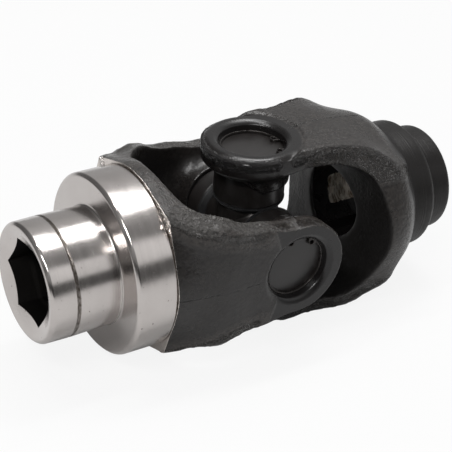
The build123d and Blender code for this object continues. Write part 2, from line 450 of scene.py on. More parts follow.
def forgingHeight(add, along, patterns, masks):
    # the paint's relief in mm: grain and lumps on forged skin, torn flash, tool rings on the hub
    depth = add("Math", {0: masks["coarse"], 1: paint["grainDepth"]}, operation="MULTIPLY")
    height = add("Math", {0: patterns["grain"], 1: depth}, operation="MULTIPLY")
    height = add("Math", {0: patterns["lumps"], 1: paint["lumpDepth"], 2: height}, operation="MULTIPLY_ADD")
    onHub = add("MapRange", {
        "Value": along, "From Min": paint["hubFrom"] * mm, "From Max": (paint["hubFrom"] + 1) * mm})
    smooth = add("Math", {0: onHub, 1: 0.55}, operation="MULTIPLY")
    smooth = add("Math", {0: smooth, 1: masks["milled"]}, operation="MAXIMUM")
    forged = add("Math", {0: 1.0, 1: smooth}, operation="SUBTRACT")
    height = add("Math", {0: height, 1: forged}, operation="MULTIPLY")
    rings = add("TexNoise", {
        "W": along, "Scale": perMm(paint["toolRings"]), "Detail": 2.0}, noise_dimensions="1D")
    rings = add("Math", {0: rings, 1: onHub}, operation="MULTIPLY")
    height = add("Math", {0: rings, 1: paint["ringDepth"], 2: height}, operation="MULTIPLY_ADD")
    cliffs = add("MapRange", {"Value": patterns["torn"], "From Min": 0.40, "From Max": 0.60})
    torn = add("Math", {0: cliffs, 1: masks["flash"]}, operation="MULTIPLY")
    height = add("Math", {0: torn, 1: paint["tornDepth"], 2: height}, operation="MULTIPLY_ADD")
    return height, onHub


def partingLine(add, axes, patterns, masks):
    # a thin broken bead down the middle of each arm and along the hub
    wander = add("Math", {
        0: patterns["lumps"], 1: paint["seamWander"] * mm, 2: -paint["seamWander"] * mm / 2},
        operation="MULTIPLY_ADD")
    side = add("Math", {0: axes["Y"], 1: wander}, operation="ADD")
    away = add("Math", {0: side}, operation="ABSOLUTE")
    near = add("MapRange", {
        "Value": away, "From Min": paint["seamWidth"] * mm, "From Max": 0.3 * paint["seamWidth"] * mm})
    broken = add("MapRange", {"Value": patterns["beads"], "From Min": 0.42, "From Max": 0.60})
    beyondEar = add("MapRange", {"Value": axes["X"], "From Min": 12.5 * mm, "From Max": 14.0 * mm})
    seam = near
    for mask in (broken, beyondEar, masks["coarse"]):
        seam = add("Math", {0: seam, 1: mask}, operation="MULTIPLY")
    return seam


def steelUnderPaint(add, patterns, masks):
    # where bare steel shows, with an uneven edge of overspray, and its colour
    edge = add("Math", {0: patterns["edge"], 1: 0.9, 2: masks["bare"]}, operation="MULTIPLY_ADD")
    shown = add("MapRange", {"Value": edge, "From Min": 0.96, "From Max": 1.06})
    rust = add("ValToRGB", {"Fac": patterns["streaks"]})
    for stop, share, colour in zip(rust.color_ramp.elements, (0.36, 0.58), ("rustLow", "rustHigh")):
        stop.position = share
        stop.color = linear(bareSteel[colour])
    steel = add("Mix", {
        "Factor": masks["rusty"], "A": linear(bareSteel["faced"]), "B": rust}, data_type="RGBA")
    return shown, steel


def wornShare(add, grain, seam, masks):
    # where the enamel is worn to a paler brown: on the grain's tops, off the machined faces and the seam
    worn = add("MapRange", {"Value": grain, "From Min": 0.34, "From Max": 0.66, "To Min": 0.2})
    forged = add("Math", {0: 1.0, 1: masks["milled"]}, operation="SUBTRACT")
    for mask in (masks["coarse"], forged):
        worn = add("Math", {0: worn, 1: mask}, operation="MULTIPLY")
    return add("Math", {0: worn, 1: seam}, operation="SUBTRACT", use_clamp=True)


def sprayedForging():
    material = bpy.data.materials.new("sprayedForging")
    add = emptied(material)
    place = add("Attribute", attribute_name="forgedPlace").outputs["Vector"]
    axes = add("SeparateXYZ", {0: place}).outputs
    drawn = add("VectorMath", {0: place, 1: (1.0, 0.25, 0.25)}, operation="MULTIPLY")
    masks = {name: add("Attribute", attribute_name=name).outputs["Fac"]
             for name in ("flash", "bare", "rusty", "milled", "coarse", "inner", "land")}
    patterns = {}
    for name, at, size, detail, fineness in (
            ("grain", place, paint["grain"], 4.0, 0.6), ("lumps", place, paint["lumps"], 3.0, 0.5),
            ("torn", place, paint["torn"], 5.0, 0.65), ("beads", place, paint["beads"], 2.0, 0.5),
            ("edge", drawn, bareSteel["edge"], 5.0, 0.6),
            ("streaks", drawn, bareSteel["streaks"], 4.0, 0.65)):
        patterns[name] = add("TexNoise", {
            "Vector": at, "Scale": perMm(size), "Detail": detail, "Roughness": fineness})
    height, onHub = forgingHeight(add, axes["X"], patterns, masks)
    seam = partingLine(add, axes, patterns, masks)
    height = add("Math", {0: seam, 1: -paint["seamDepth"], 2: height}, operation="MULTIPLY_ADD")
    height = add("Math", {0: height, 1: mm}, operation="MULTIPLY")
    bump = add("Bump", {"Height": height, "Strength": 1.0, "Distance": 1.0})
    shown, steel = steelUnderPaint(add, patterns, masks)
    # painted sheen: the flash's land is made paler, mottled by the grain
    landSheen = add("MapRange", {"Value": patterns["grain"], "From Min": 0.20, "From Max": 0.55})
    landSheen = add("Math", {0: landSheen, 1: masks["land"]}, operation="MULTIPLY")
    # painted shade inside the fork and along the hub, which turn near black, metallic and rougher; the
    # parting line's bead takes the same dark finish
    shadeAndSeamMask = add("Math", {0: onHub, 1: paint["hubShade"]}, operation="MULTIPLY")
    for mask in (masks["inner"], seam):
        shadeAndSeamMask = add("Math", {0: mask, 1: shadeAndSeamMask}, operation="MAXIMUM")
    metal = add("Math", {0: shadeAndSeamMask, 1: paint["shadeAndSeamMetal"]}, operation="MULTIPLY")
    clean = add("Math", {0: masks["rusty"], 1: -bareSteel["rustDull"], 2: 1.0}, operation="MULTIPLY_ADD")
    clean = add("Math", {0: clean, 1: shown}, operation="MULTIPLY")
    metal = add("Math", {0: metal, 1: clean}, operation="MAXIMUM")
    colour = linear(paint["colour"])
    for mask, layer in ((wornShare(add, patterns["grain"], seam, masks), linear(paint["colourWorn"])),
                        (landSheen, linear(paint["land"])), (shadeAndSeamMask, linear(paint["shadeAndSeam"])), (shown, steel)):
        colour = add("Mix", {"Factor": mask, "A": colour, "B": layer}, data_type="RGBA")
    sheen = add("MapRange", {
        "Value": patterns["lumps"], "From Min": 0.3, "From Max": 0.7, "To Min": paint["glossLow"],
        "To Max": paint["glossHigh"]})
    rough = add("Mix", {"Factor": masks["flash"], "A": sheen, "B": paint["wet"]}, data_type="FLOAT")
    rough = add("Math", {0: shadeAndSeamMask, 1: paint["shadeAndSeamRough"], 2: rough}, operation="MULTIPLY_ADD")
    shader = add("BsdfPrincipled", {
        "Base Color": colour, "Metallic": metal, "Roughness": rough, "IOR": 1.45, "Normal": bump})
    add("OutputMaterial", {"Surface": shader})
    return material


# finishes with an even grain: two colours of the mottle, metallic, roughness from and to, then the
# grain's size and depth in mm
grainedFinishes = {
    # pressed bearing cup under the same enamel: smoother and a shade greyer than the forging
    "sprayedCup": (("#181615", "#211E1D"), 0.0, (0.28, 0.36), 0.5, 0.02),
    # phosphated and oiled spring steel: near black with a dull metal sheen on its edges
    "oiledSpringSteel": (("#262423", "#363230"), 0.6, (0.24, 0.34), 0.3, 0.01),
    # case-hardened forging with overspray: dark grey metal
    "hardenedForging": (("#1F1D1C", "#2E2A28"), 0.5, (0.34, 0.46), 0.7, 0.03),
    # ground bearing steel: mirror bright
    "groundRollerSteel": (("#C9CBCD", "#D6D7D8"), 1.0, (0.08, 0.14), 0.3, 0.002),
    # moulded nitrile: soft black with no gloss
    "mouldedNitrile": (("#101011", "#18181A"), 0.0, (0.50, 0.62), 0.35, 0.01),
    # moulded nylon: milky, waxy off-white
    "mouldedNylon": (("#DDD6C2", "#E6E0CF"), 0.0, (0.38, 0.46), 0.8, 0.006),
}


def grainedFinish(name, colours, metallic, rough, grain, depth):
    material = bpy.data.materials.new(name)
    add = emptied(material)
    place = add("TexCoord").outputs["Object"]
    fine = add("TexNoise", {"Vector": place, "Scale": perMm(grain), "Detail": 4.0})
    wide = add("TexNoise", {"Vector": place, "Scale": perMm(grain * 7), "Detail": 2.0})
    dull = add("MapRange", {
        "Value": wide, "From Min": 0.3, "From Max": 0.7, "To Min": rough[0], "To Max": rough[1]})
    bump = add("Bump", {"Height": fine, "Strength": 0.5, "Distance": depth * mm})
    tint = add("Mix", {"Factor": wide, "A": linear(colours[0]), "B": linear(colours[1])}, data_type="RGBA")
    shader = add("BsdfPrincipled", {
        "Base Color": tint, "Metallic": metallic, "Roughness": dull, "Normal": bump})
    add("OutputMaterial", {"Surface": shader})
    return material


finishes = {"turnedBarSteel": turnedBarSteel(), "sprayedForging": sprayedForging()}
for name, settings in grainedFinishes.items():
    finishes[name] = grainedFinish(name, *settings)
print("materials made")


def coat(piece, finish):
    piece.data.materials.clear()
    piece.data.materials.append(finishes[finish])


def finishPiece(piece, finish, slot, body, *replaced):
    coat(piece, finish)
    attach(piece, body)
    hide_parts(*replaced)


def hexRadius(angle):
    # distance from the axis to the hexagon's side at that angle, with a flat at angle zero
    within = ((angle + math.pi / 6) % (math.pi / 3)) - math.pi / 6
    return hub["hexFlat"] / math.cos(within)


def makeHexHub():
    radius, mouth, spigot, end = hub["radius"], hub["leadRadius"], hub["spigotRadius"], hub["spigotEnd"]
    front, back, collar, chamfer = (hub["collar" + size] for size in ("Front", "Back", "Radius", "Chamfer"))
    outside = roundedOutline([
        (0, mouth, 0),
        (0, radius - hub["chamfer"], 0.15),
        (hub["chamfer"], radius, 0.2),
        (hub["grooveFront"], radius, 0.08),
        (hub["grooveFront"], hub["grooveRadius"], 0.12),
        (hub["grooveBack"], hub["grooveRadius"], 0.12),
        (hub["grooveBack"], radius, 0.08),
        (front, radius, hub["rootFillet"]),
        (front, collar - chamfer, 0.2),
        (front + chamfer, collar, 0.2),
        (back - chamfer, collar, 0.2),
        (back, collar - chamfer, 0.15),
        (back, spigot, 0),
        (end - 1, spigot, 0),
        (end, spigot - 0.8, 0),
    ])

    def outlineAt(angle):
        hexagon = hexRadius(angle)
        lead = hub["leadDepth"] * (mouth - hexagon) / (mouth - hub["hexFlat"])
        return outside + [Vector((end, hexagon)), Vector((lead, hexagon))]

    bm = spin(outlineAt, hub["segments"])
    bm.transform(alongShaft)
    return makePiece("hexHub", bm, 25)


finishPiece(makeHexHub(), "turnedBarSteel", "turned_steel", "hub_half", "hex_hub")
print("hex hub turned")

# one forging serves both yokes; sizes in mm from the pin centre, hub towards +X, pin axis along Z
forging = {
    "voxel": 0.5,
    "relaxRounds": 7,
    "earRadius": 15.5,
    "earCentre": -0.6,
    "earFace": 31.1,
    "armCrown": 31.6,
    "spotRadius": 15.9,
    "noseCentre": 46.6,
    "noseRadius": 40.0,
    "armWaist": 0.13,
    "draft": 0.03,
    "rimRoll": 1.5,
    "cupRadius": 11.0,
    "clipGrooveRadius": 11.6,
    "clipGrooveLow": 27.0,
    "clipGrooveHigh": 28.3,
    "mouthBevel": 1.5,
    "rearBore": 12.5,
    "rearEnd": 70.3,
    "keyHalf": 4.0,
    "keyReach": 15.8,
    "passage": 14.2,
    "frontFace": 42.0,
    "seatDepth": 8.0,
    "flashHeight": 28.9,  # round the ear's tip
    "lipWidth": 0.45,
    "lipSpacing": 0.8,  # each lip's distance from the flash's middle line
    "overshoot": 3.0,  # how far a cutter reaches past the face that it enters
}

# where the trimmed flash runs on one quarter of the forging: (along, width, height)
flashRoute = [(6, 15.45, 28.6), (11, 15.45, 28.9), (14, 15.55, 29.9), (22, 16.9, 29.9), (30, 19.4, 29.0),
              (36.5, 21.3, 26.2), (41.9, 24.0, 21.0), (46.5, 21.0, 19.0)]


def flashPath(tipSteps=60, armSteps=160):
    # round the ear's tip, then along the arm's edge, as closely spaced points
    turn = np.linspace(math.pi, math.pi / 2, tipSteps)
    tip = np.stack([forging["earCentre"] + forging["earRadius"] * np.cos(turn),
                    forging["earRadius"] * np.sin(turn), np.full(tipSteps, forging["flashHeight"])], 1)
    alongs, widths, heights = np.array(flashRoute).T
    along = np.linspace(alongs[0], alongs[-1], armSteps)
    arm = np.stack([along, np.interp(along, alongs, widths), np.interp(along, alongs, heights)], 1)
    return np.concatenate([tip, arm]) * mm


def flashDistance(places):
    # mm from each place to the nearest point of the flash, by the forging's two mirror planes
    folded = np.abs(places)
    folded[:, 0] = places[:, 0]
    nearest = np.full(len(places), 1.0)
    for point in flashPath():
        nearest = np.minimum(nearest, np.linalg.norm(folded - point, axis=1))
    return nearest / mm


def forgingBlank():
    # the rear yoke's solid with every bore filled, so that machining can be cut crisply later
    bm = bmesh.new()
    bm.from_mesh(nodes["rear_yoke"].data)
    bmesh.ops.remove_doubles(bm, verts=bm.verts, dist=mergeGap)
    bmesh.ops.translate(bm, verts=bm.verts, vec=-pinCentre)
    radius, crown, end = forging["earRadius"] - 0.3, forging["armCrown"], forging["rearEnd"]
    for side in (1, -1):
        plug = spinOutline([(17.7, 0, 0), (17.7, 10.95, 0), (22.8, 10.95, 0), (22.8, 12.0, 0),
                            (25.5, 14.0, 0), (27, radius, 0), (crown, radius, 0), (crown, 0, 0)], 64)
        joinInto(bm, closeSeams(plug), Matrix.Rotation(0 if side == 1 else math.pi, 4, "X"))
        low, high = sorted((side * 28, side * crown))
        joinInto(bm, boxMesh((0, -radius, low), (13, radius, high)))
    core = spinOutline([(38.2, 0, 0), (38.2, 16, 0), (end - 1.2, 16.6, 0), (end, 16.0, 0), (end, 0, 0)], 64)
    joinInto(bm, closeSeams(core), alongShaft)
    return meshFrom("blank", bm)


def widenArms(mesh):
    # the front yoke's arms stay a little wider between the collar and the ears
    places = meshPlaces(mesh)
    along = places[:, 0] / mm
    places[:, 1] *= 1 + forging["armWaist"] * fade(along, 2, 15) * (1 - fade(along, 22, 36))
    setPlaces(mesh, places)


def draftArms(mesh):
    # the die's draft: the outside of each arm falls away from the parting plane
    places = meshPlaces(mesh)
    x, y, z = (places / mm).T
    fall = forging["draft"] * np.abs(y) * fade(x, 11, 17) * fade(np.abs(z), 22, 27) * (1 - fade(x, 36, 44))
    places[:, 2] -= np.sign(z) * fall * mm
    setPlaces(mesh, places)


def workSurface(mesh, seed):
    # the trimmed flash leaves two torn lips with a land between them; the rest is slightly uneven
    places = meshPlaces(mesh)
    along = places[:, 0] / mm
    torn = 0.55 + 0.35 * softNoise(places, 2.6, seed) + 0.30 * softNoise(places, 1.1, seed + 1)
    lips = np.exp(-((flashDistance(places) - forging["lipSpacing"]) / forging["lipWidth"]) ** 2)
    ridge = lips * np.clip(torn, 0, 1) * (0.16 + 0.22 * fade(-along, -44, -37))
    uneven = 0.14 * softNoise(places, 9.0, seed + 2) + 0.05 * softNoise(places, 2.8, seed + 3)
    lift = ridge + uneven * (1 - 0.85 * fade(along, 44, 47))  # the hub was turned
    setPlaces(mesh, places + meshNormals(mesh) * lift[:, None] * mm)


def millEars(mesh, isFront):
    # presses each ear flat; the paint softens the step to the arm, which runs round a spot face on one
    # yoke and round the blunt nose of the arm on the other
    places = meshPlaces(mesh)
    x, y, z = (places / mm).T
    if isFront:
        beyond = forging["noseRadius"] - np.hypot(x - forging["noseCentre"], y)
    else:
        beyond = np.hypot(x, y) - forging["spotRadius"]
    top = forging["earFace"] + 0.9 * fade(beyond, 0, 1.3) + 5 * fade(beyond, 1.3, 3)
    if not isFront:
        top -= forging["rimRoll"] * fade(np.hypot(x, y), 12.8, 16.2) ** 2 * fade(-x, -10, -3)
    places[:, 2] = np.clip(z, -top, top) * mm
    setPlaces(mesh, places)


def cutterPiece(bm, matrix=Matrix()):
    mesh = meshFrom("cutter", closeSeams(bm))
    mesh.transform(matrix)
    return addObject("cutter", mesh)


def earCutters():
    # the bore for the cup, with its circlip groove and bevelled mouth, from each side
    bore, groove = forging["cupRadius"], forging["clipGrooveRadius"]
    low, high = forging["clipGrooveLow"], forging["clipGrooveHigh"]
    mouth, over = forging["earFace"] - forging["mouthBevel"], forging["overshoot"]
    outline = [(0, 0, 0), (0, bore, 0), (low, bore, 0), (low, groove, 0), (high, groove, 0),
               (high, bore, 0.05), (mouth, bore, 0.5), (mouth + over, bore + over * 1.15, 0),
               (mouth + over, 0, 0)]
    return [cutterPiece(spinOutline(outline, 160), Matrix.Rotation(angle, 4, "X")) for angle in (0, math.pi)]


def rearCutters():
    # the bore, and its keyway, which is open to the rear end
    radius, end, over = forging["rearBore"], forging["rearEnd"], forging["overshoot"]
    rings = [(along, radius, 0) for along in range(34, 68)]  # rows for the wall's masks
    bore = spinOutline([(20, 0, 0), (20, radius, 0), *rings, (end - 1, radius, 0.2),
                        (end + over, radius + 1 + over, 0), (end + over, 0, 0)], 144)
    key = boxMesh((22, -forging["keyHalf"], -forging["keyReach"]), (82, forging["keyHalf"], 0))
    return [cutterPiece(bore, alongShaft), cutterPiece(key)]


def frontCutters():
    # all beyond the front face, and the seat for the hub's spigot
    face, past = forging["frontFace"], 60
    bottom, seat = face - forging["seatDepth"], hub["spigotRadius"]
    beyond = boxMesh((face, -past, -past), (face + past, past, past))
    bore = spinOutline([(20, 0, 0), (20, forging["passage"], 0), (bottom, forging["passage"], 0),
                        (bottom, seat, 0), (face + 1, seat, 0), (face + 1, 0, 0)], 144)
    return [cutterPiece(beyond), cutterPiece(bore, alongShaft)]


def milledFaces(mesh, isFront):
    # one on each face that was machined, which keeps no forged grain
    facts = {}
    for fact in ("center", "normal"):
        values = np.empty(len(mesh.polygons) * 3, np.float32)
        mesh.polygons.foreach_get(fact, values)
        facts[fact] = values.reshape(-1, 3)
    x, y, z = (facts["center"] / mm).T
    if isFront:
        inside = np.hypot(x - forging["noseCentre"], y) > forging["noseRadius"]
    else:
        inside = np.hypot(x, y) < forging["spotRadius"] - 0.6
    onEar = inside & (np.abs(np.abs(z) - forging["earFace"]) < 0.4) & (np.abs(facts["normal"][:, 2]) > 0.95)
    inCup = (np.hypot(x, y) < forging["clipGrooveRadius"] + 0.4) & (np.abs(z) > 15)
    inBore = (np.hypot(y, z) < 16.1) & (x > 25)
    onFace = isFront & (x > forging["frontFace"] - 0.01)
    return onEar | inCup | inBore | onFace


def paintMasks(mesh, isFront):
    # what the enamel's material reads: place on the forging, torn flash, bare steel, machined faces
    places = meshPlaces(mesh)
    normals = meshNormals(mesh)
    x, y, z = (places / mm).T
    distance = flashDistance(places)
    edgeFace = fade(np.abs(normals[:, 1]), 0.65, 0.9) * fade(np.abs(z), 17, 20) * fade(np.abs(y), 13, 14)
    land = np.maximum(edgeFace, fade(-distance, -1.3, -0.5)) * fade(x, 8, 13) * (1 - fade(x, 42, 44))
    if isFront:
        # the flanks were ground before painting, so only the edges keep the coarse skin
        coarse = np.maximum(fade(-distance, -7, -2), 0.3 + 0.7 * fade(np.abs(y), 18, 21))
        bare = fade(x, forging["frontFace"] - 0.25, forging["frontFace"] - 0.02)
    else:
        # the spray reached both ends of the bore and left a patch of its wall bare
        coarse = 0.12 + 0.56 * fade(x, 4, 14)
        turn = np.degrees(np.arctan2(z, y))
        patch = fade(turn, -50, -38) * fade(-turn, -12, 4)
        bore = fade(-np.abs(np.hypot(y, z) - forging["rearBore"]), -1.0, -0.3)
        bare = bore * fade(x, 38.5, 43) * (1 - fade(x, 60, 66)) * patch
    # faces inside the fork, which take painted shade
    towardsPin = -(normals[:, 0] * x + normals[:, 2] * z) / np.maximum(np.hypot(x, z), 1)
    inner = fade(towardsPin, 0.3, 0.7) * fade(-np.abs(z), -27, -24)
    # painted sheen: the front yoke's land, along its arms' upper and lower edges, is made pale grey; the
    # rear yoke's land faces the sides, takes a fifth of it and stays black, with glossier flash
    masks = {
        "land": land * (1.0 if isFront else 0.2),
        "flash": np.maximum((0.4 if isFront else 0.7) * land, fade(-distance, -2.0, -0.9)),
        "bare": bare,
        "rusty": np.full(len(x), 0.0 if isFront else 1.0),
        "coarse": coarse * (1 - 0.8 * fade(x, 44, 47)),
        "inner": inner * (0.5 if isFront else 1),
    }
    giveAttribute(mesh, "forgedPlace", places, "FLOAT_VECTOR")
    for name, values in masks.items():
        giveAttribute(mesh, name, values)
    giveAttribute(mesh, "milled", milledFaces(mesh, isFront), domain="FACE")


def makeYoke(name, blank, cutters, turned, isFront):
    # one forging machined in its own place, then turned into the shaft's frame
    mesh = blank.copy()
    draftArms(mesh)
    workSurface(mesh, 3 if isFront else 8)
    if isFront:
        widenArms(mesh)
    millEars(mesh, isFront)
    piece = linkPiece(name, mesh, 40)
    cutAway(piece, cutters)
    paintMasks(piece.data, isFront)
    piece.data.transform(Matrix.Translation(pinCentre) @ turned)
    shadeRound(piece.data, 38)
    print(name, "machined,", len(piece.data.vertices), "vertices")
    return piece


blank = voxelMesh("forging", forgingBlank(), forging["voxel"] * mm)
relax(blank, forging["relaxRounds"])
print("forging struck,", len(blank.vertices), "vertices")
# half a turn about Z faces the front yoke's fork to the rear; a quarter turn about X lays its pin along Y
frontTurn = Matrix.Rotation(math.radians(90), 4, "X") @ Matrix.Rotation(math.radians(180), 4, "Z")
frontYoke = makeYoke("frontYoke", blank, earCutters() + frontCutters(), frontTurn, True)
rearYoke = makeYoke("rearYoke", blank, earCutters() + rearCutters(), Matrix(), False)
finishPiece(frontYoke, "sprayedForging", "black_paint", "hub_half", "front_yoke")
finishPiece(rearYoke, "sprayedForging", "black_paint", "keyed_half", "rear_yoke")

cross = {
    "voxel": 0.4,
    "relaxRounds": 4,
    "tip": 23.95,
    "journal": 6.92,
    "shoulder": 9.9,
    "shoulderRadius": 9.2,
    "shoulderBevel": 0.8,
    "bodyRadius": 9.7,
    "drill": 1.5,
}


def makeCross():
    shoulder, radius, bevel = cross["shoulder"], cross["shoulderRadius"], cross["shoulderBevel"]
    journal, tip, drill = cross["journal"], cross["tip"], cross["drill"]
    arm = [(0, 0, 0), (0, cross["bodyRadius"], 0), (shoulder - bevel, radius, 0.3),
           (shoulder, radius - bevel, 0.3), (shoulder, journal, 0.6), (tip, journal, 0.8), (tip, drill, 0.8),
           (0.5, drill, 0), (0.5, 0, 0)]
    bm = bmesh.new()
    for quarter in range(4):
        joinInto(bm, closeSeams(spinOutline(arm, 96)), Matrix.Rotation(quarter * math.pi / 2, 4, "X"))
    mesh = voxelMesh("crossForging", meshFrom("cross", bm), cross["voxel"] * mm)
    relax(mesh, cross["relaxRounds"])
    mesh.transform(Matrix.Translation(pinCentre))
    return linkPiece("crossForging", mesh, 60)


finishPiece(makeCross(), "hardenedForging", "cross_steel", "cross", "cross")
print("cross made")

# each ear's tilt about X from the upright, and the turn of its circlip's gap, in degrees
ears = {
    "front_near": {"tilt": 90, "gap": 78, "body": "hub_half"},
    "front_far": {"tilt": -90, "gap": 64, "body": "hub_half"},
    "rear_top": {"tilt": 0, "gap": -19, "body": "keyed_half"},
    "rear_bottom": {"tilt": 180, "gap": 24, "body": "keyed_half"},
}

# sizes in mm, upwards from the pin centre and outwards from the pin's axis
cup = {"top": 27.0, "bottom": 11.6, "radius": 11.0, "inside": 9.395, "floor": 2.0, "edge": 0.7}
seal = {"journal": 7.0, "low": 10.2, "mouth": 11.6, "top": 12.8, "lip": 10.6}
clip = {"outer": 11.55, "inner": 9.65, "thickness": 1.2, "bevel": 0.22, "lug": 1.9, "hole": 0.8,
        "gap": 32, "lugTurn": 10.5, "lugHalf": 11}  # the last three in degrees


def makeCup():
    floor = cup["top"] - cup["floor"]
    return spinOutline([
        (cup["top"], 0, 0),
        (cup["top"], cup["radius"], cup["edge"]),
        (cup["bottom"], cup["radius"], cup["edge"]),
        (cup["bottom"], cup["inside"], 0.25),
        (floor, cup["inside"], 0.2),
        (floor, 0, 0),
    ])


def makeSeal():
    low, mouth, journal, inside = seal["low"], seal["mouth"], seal["journal"], cup["inside"]
    return spinOutline([
        (low + 0.5, journal, 0.1),
        (low, journal + 0.85, 0.2),
        (low, low - 0.8, 0.2),
        (mouth - 0.3, seal["lip"], 0.12),
        (mouth, seal["lip"], 0),
        (mouth, inside + 0.3, 0),
        (mouth + 0.3, inside, 0),
        (seal["top"], inside, 0.15),
        (seal["top"], journal, 0.15),
    ])


def clipOutlines():
    # the ring's outer arc, one lug, the inner arc back and the other lug, then the two holes
    half = math.radians(clip["gap"] / 2)
    lugAt = half + math.radians(clip["lugTurn"])
    lugOut = clip["inner"] - 0.4
    lugReach = clip["inner"] - lugOut + clip["lug"] - 0.5
    ring = [(clip["outer"], a) for a in np.linspace(half, 2 * math.pi - half, 110)]
    for a in np.linspace(2 * math.pi - half, half, 150):
        fromLug = min(abs(a - lugAt), abs(2 * math.pi - a - lugAt))
        swell = math.cos(min(fromLug / math.radians(clip["lugHalf"]), 1) * math.pi / 2)
        ring.append((clip["inner"] - lugReach * swell ** 0.6, a))
    outlines = [[(r * math.cos(a), r * math.sin(a)) for r, a in ring]]
    turn = np.linspace(0, 2 * math.pi, 25)[:-1]
    for side in (1, -1):
        x, y = (lugOut - 0.5) * math.cos(side * lugAt), (lugOut - 0.5) * math.sin(side * lugAt)
        outlines.append([(x + clip["hole"] * math.cos(a), y + clip["hole"] * math.sin(a)) for a in turn])
    return outlines


def makeCirclip():
    # a filled flat curve, extruded with stamped edges and laid on the cup
    curve = bpy.data.curves.new("circlip", "CURVE")
    curve.dimensions = "2D"
    curve.fill_mode = "BOTH"
    curve.bevel_depth = clip["bevel"] * mm
    curve.bevel_resolution = 2
    curve.extrude = (clip["thickness"] / 2 - clip["bevel"]) * mm
    curve.offset = -clip["bevel"] * mm
    for outline in clipOutlines():
        spline = curve.splines.new("POLY")
        spline.points.add(len(outline) - 1)
        for point, (x, y) in zip(spline.points, outline):
            point.co = (x * mm, y * mm, 0, 1)
        spline.use_cyclic_u = True
    bm = bmeshOf(addObject("circlip", curve))
    bm.transform(Matrix.Translation((0, 0, (cup["top"] + clip["thickness"] / 2) * mm)))
    return bm


# what sits in each ear: name, maker, finish, slot and the end of its CAD node's name
earPieces = [
    ("Cup", makeCup, "sprayedCup", "cup_black", "_cup"),
    ("Seal", makeSeal, "mouldedNitrile", "seal_rubber", "_seal"),
    ("Circlip", makeCirclip, "oiledSpringSteel", "circlip_steel", "_circlip"),
]

for ear, settings in ears.items():
    words = ear.split("_")
    prefix = words[0] + words[1].capitalize()
    tilt = Matrix.Rotation(math.radians(settings["tilt"]), 4, "X")
    turn = Matrix.Rotation(math.radians(settings["gap"]), 4, "Z")
    for suffix, make, finish, slot, node in earPieces:
        piece = makePiece(prefix + suffix, make())
        piece.data.transform(Matrix.Translation(pinCentre) @ tilt @ turn)
        finishPiece(piece, finish, slot, settings["body"], ear + node)
    coat(nodes[ear + "_washer"], "mouldedNylon")
print("cups, seals and circlips fitted")

needles = {"count": 20, "pitchRadius": 8.16, "radius": 1.225, "length": 10.4, "top": 23.6}


def needleTree():
    # two opposite rings of crowned needles, turned and moved onto their pin
    tree = bpy.data.node_groups.new("needleRows", "GeometryNodeTree")
    for name, kind in (("Needle Count", "Int"), ("Pitch Radius", "Float"), ("Needle Radius", "Float"),
                       ("Needle Length", "Float"), ("Row Top", "Float"), ("Pin Turn", "Vector"),
                       ("Pin Centre", "Vector"), ("Material", "Material")):
        tree.interface.new_socket(name, in_out="INPUT", socket_type="NodeSocket" + kind)
    tree.interface.new_socket("Geometry", in_out="OUTPUT", socket_type="NodeSocketGeometry")
    add = partial(addNode, tree)
    given = add("NodeGroupInput").outputs
    # one needle: a line with its ends drawn in, swept by a small circle
    low = add("Math", {0: given["Row Top"], 1: given["Needle Length"]}, operation="SUBTRACT")
    start = add("CombineXYZ", {"Z": low})
    end = add("CombineXYZ", {"Z": given["Row Top"]})
    line = add("GeometryNodeCurvePrimitiveLine", {"Start": start, "End": end})
    fine = add("GeometryNodeResampleCurve", {"Curve": line, "Count": 15})
    factor = add("GeometryNodeSplineParameter").outputs["Factor"]
    fromEnd = add("Math", {0: factor, 1: 0.5}, operation="PINGPONG")
    crown = add("MapRange", {
        "Value": fromEnd, "From Min": 0.0, "From Max": 0.08, "To Min": 0.72, "To Max": 1.0},
        interpolation_type="SMOOTHERSTEP")
    circle = add("GeometryNodeCurvePrimitiveCircle", {"Resolution": 18, "Radius": given["Needle Radius"]})
    needle = add("GeometryNodeCurveToMesh", {
        "Curve": fine, "Profile Curve": circle, "Scale": crown, "Fill Caps": True})
    # a ring of points at the pitch radius carries the needles, and the second row lies in the opposite ear
    ring = add("GeometryNodeMeshCircle", {
        "Vertices": given["Needle Count"], "Radius": given["Pitch Radius"]})
    row = add("GeometryNodeInstanceOnPoints", {"Points": ring, "Instance": needle})
    opposite = add("GeometryNodeTransform", {"Geometry": row, "Rotation": (math.pi, 0, 0)})
    both = add("GeometryNodeJoinGeometry", {0: row})
    tree.links.new(opposite.outputs[0], both.inputs[0])
    turned = add("GeometryNodeTransform", {
        "Geometry": both, "Rotation": given["Pin Turn"], "Translation": given["Pin Centre"]})
    real = add("GeometryNodeRealizeInstances", {"Geometry": turned})
    coated = add("GeometryNodeSetMaterial", {"Geometry": real, "Material": given["Material"]})
    add("NodeGroupOutput", {"Geometry": coated})
    return tree


def needleRows(name, tree, pinTurn):
    carrier = addObject(name, bpy.data.meshes.new(name))
    rows = carrier.modifiers.new("needles", "NODES")
    rows.node_group = tree
    values = {
        "Needle Count": needles["count"],
        "Pitch Radius": needles["pitchRadius"] * mm,
        "Needle Radius": needles["radius"] * mm,
        "Needle Length": needles["length"] * mm,
        "Row Top": needles["top"] * mm,
        "Pin Turn": pinTurn,
        "Pin Centre": pinCentre[:],
        "Material": finishes["groundRollerSteel"],
    }
    for item in tree.interface.items_tree:
        if item.in_out == "INPUT":
            rows[item.identifier] = values[item.name]
    return makePiece(name, bmeshOf(carrier), 40)


needleSetOut = needleTree()
frontNeedles = needleRows("frontNeedles", needleSetOut, (math.radians(90), 0, 0))
rearNeedles = needleRows("rearNeedles", needleSetOut, (0, 0, 0))
finishPiece(frontNeedles, "groundRollerSteel", "roller_steel", "hub_half", "front_near_needles",
            "front_far_needles")
finishPiece(rearNeedles, "groundRollerSteel", "roller_steel", "keyed_half", "rear_top_needles",
            "rear_bottom_needles")
print("needles set out")

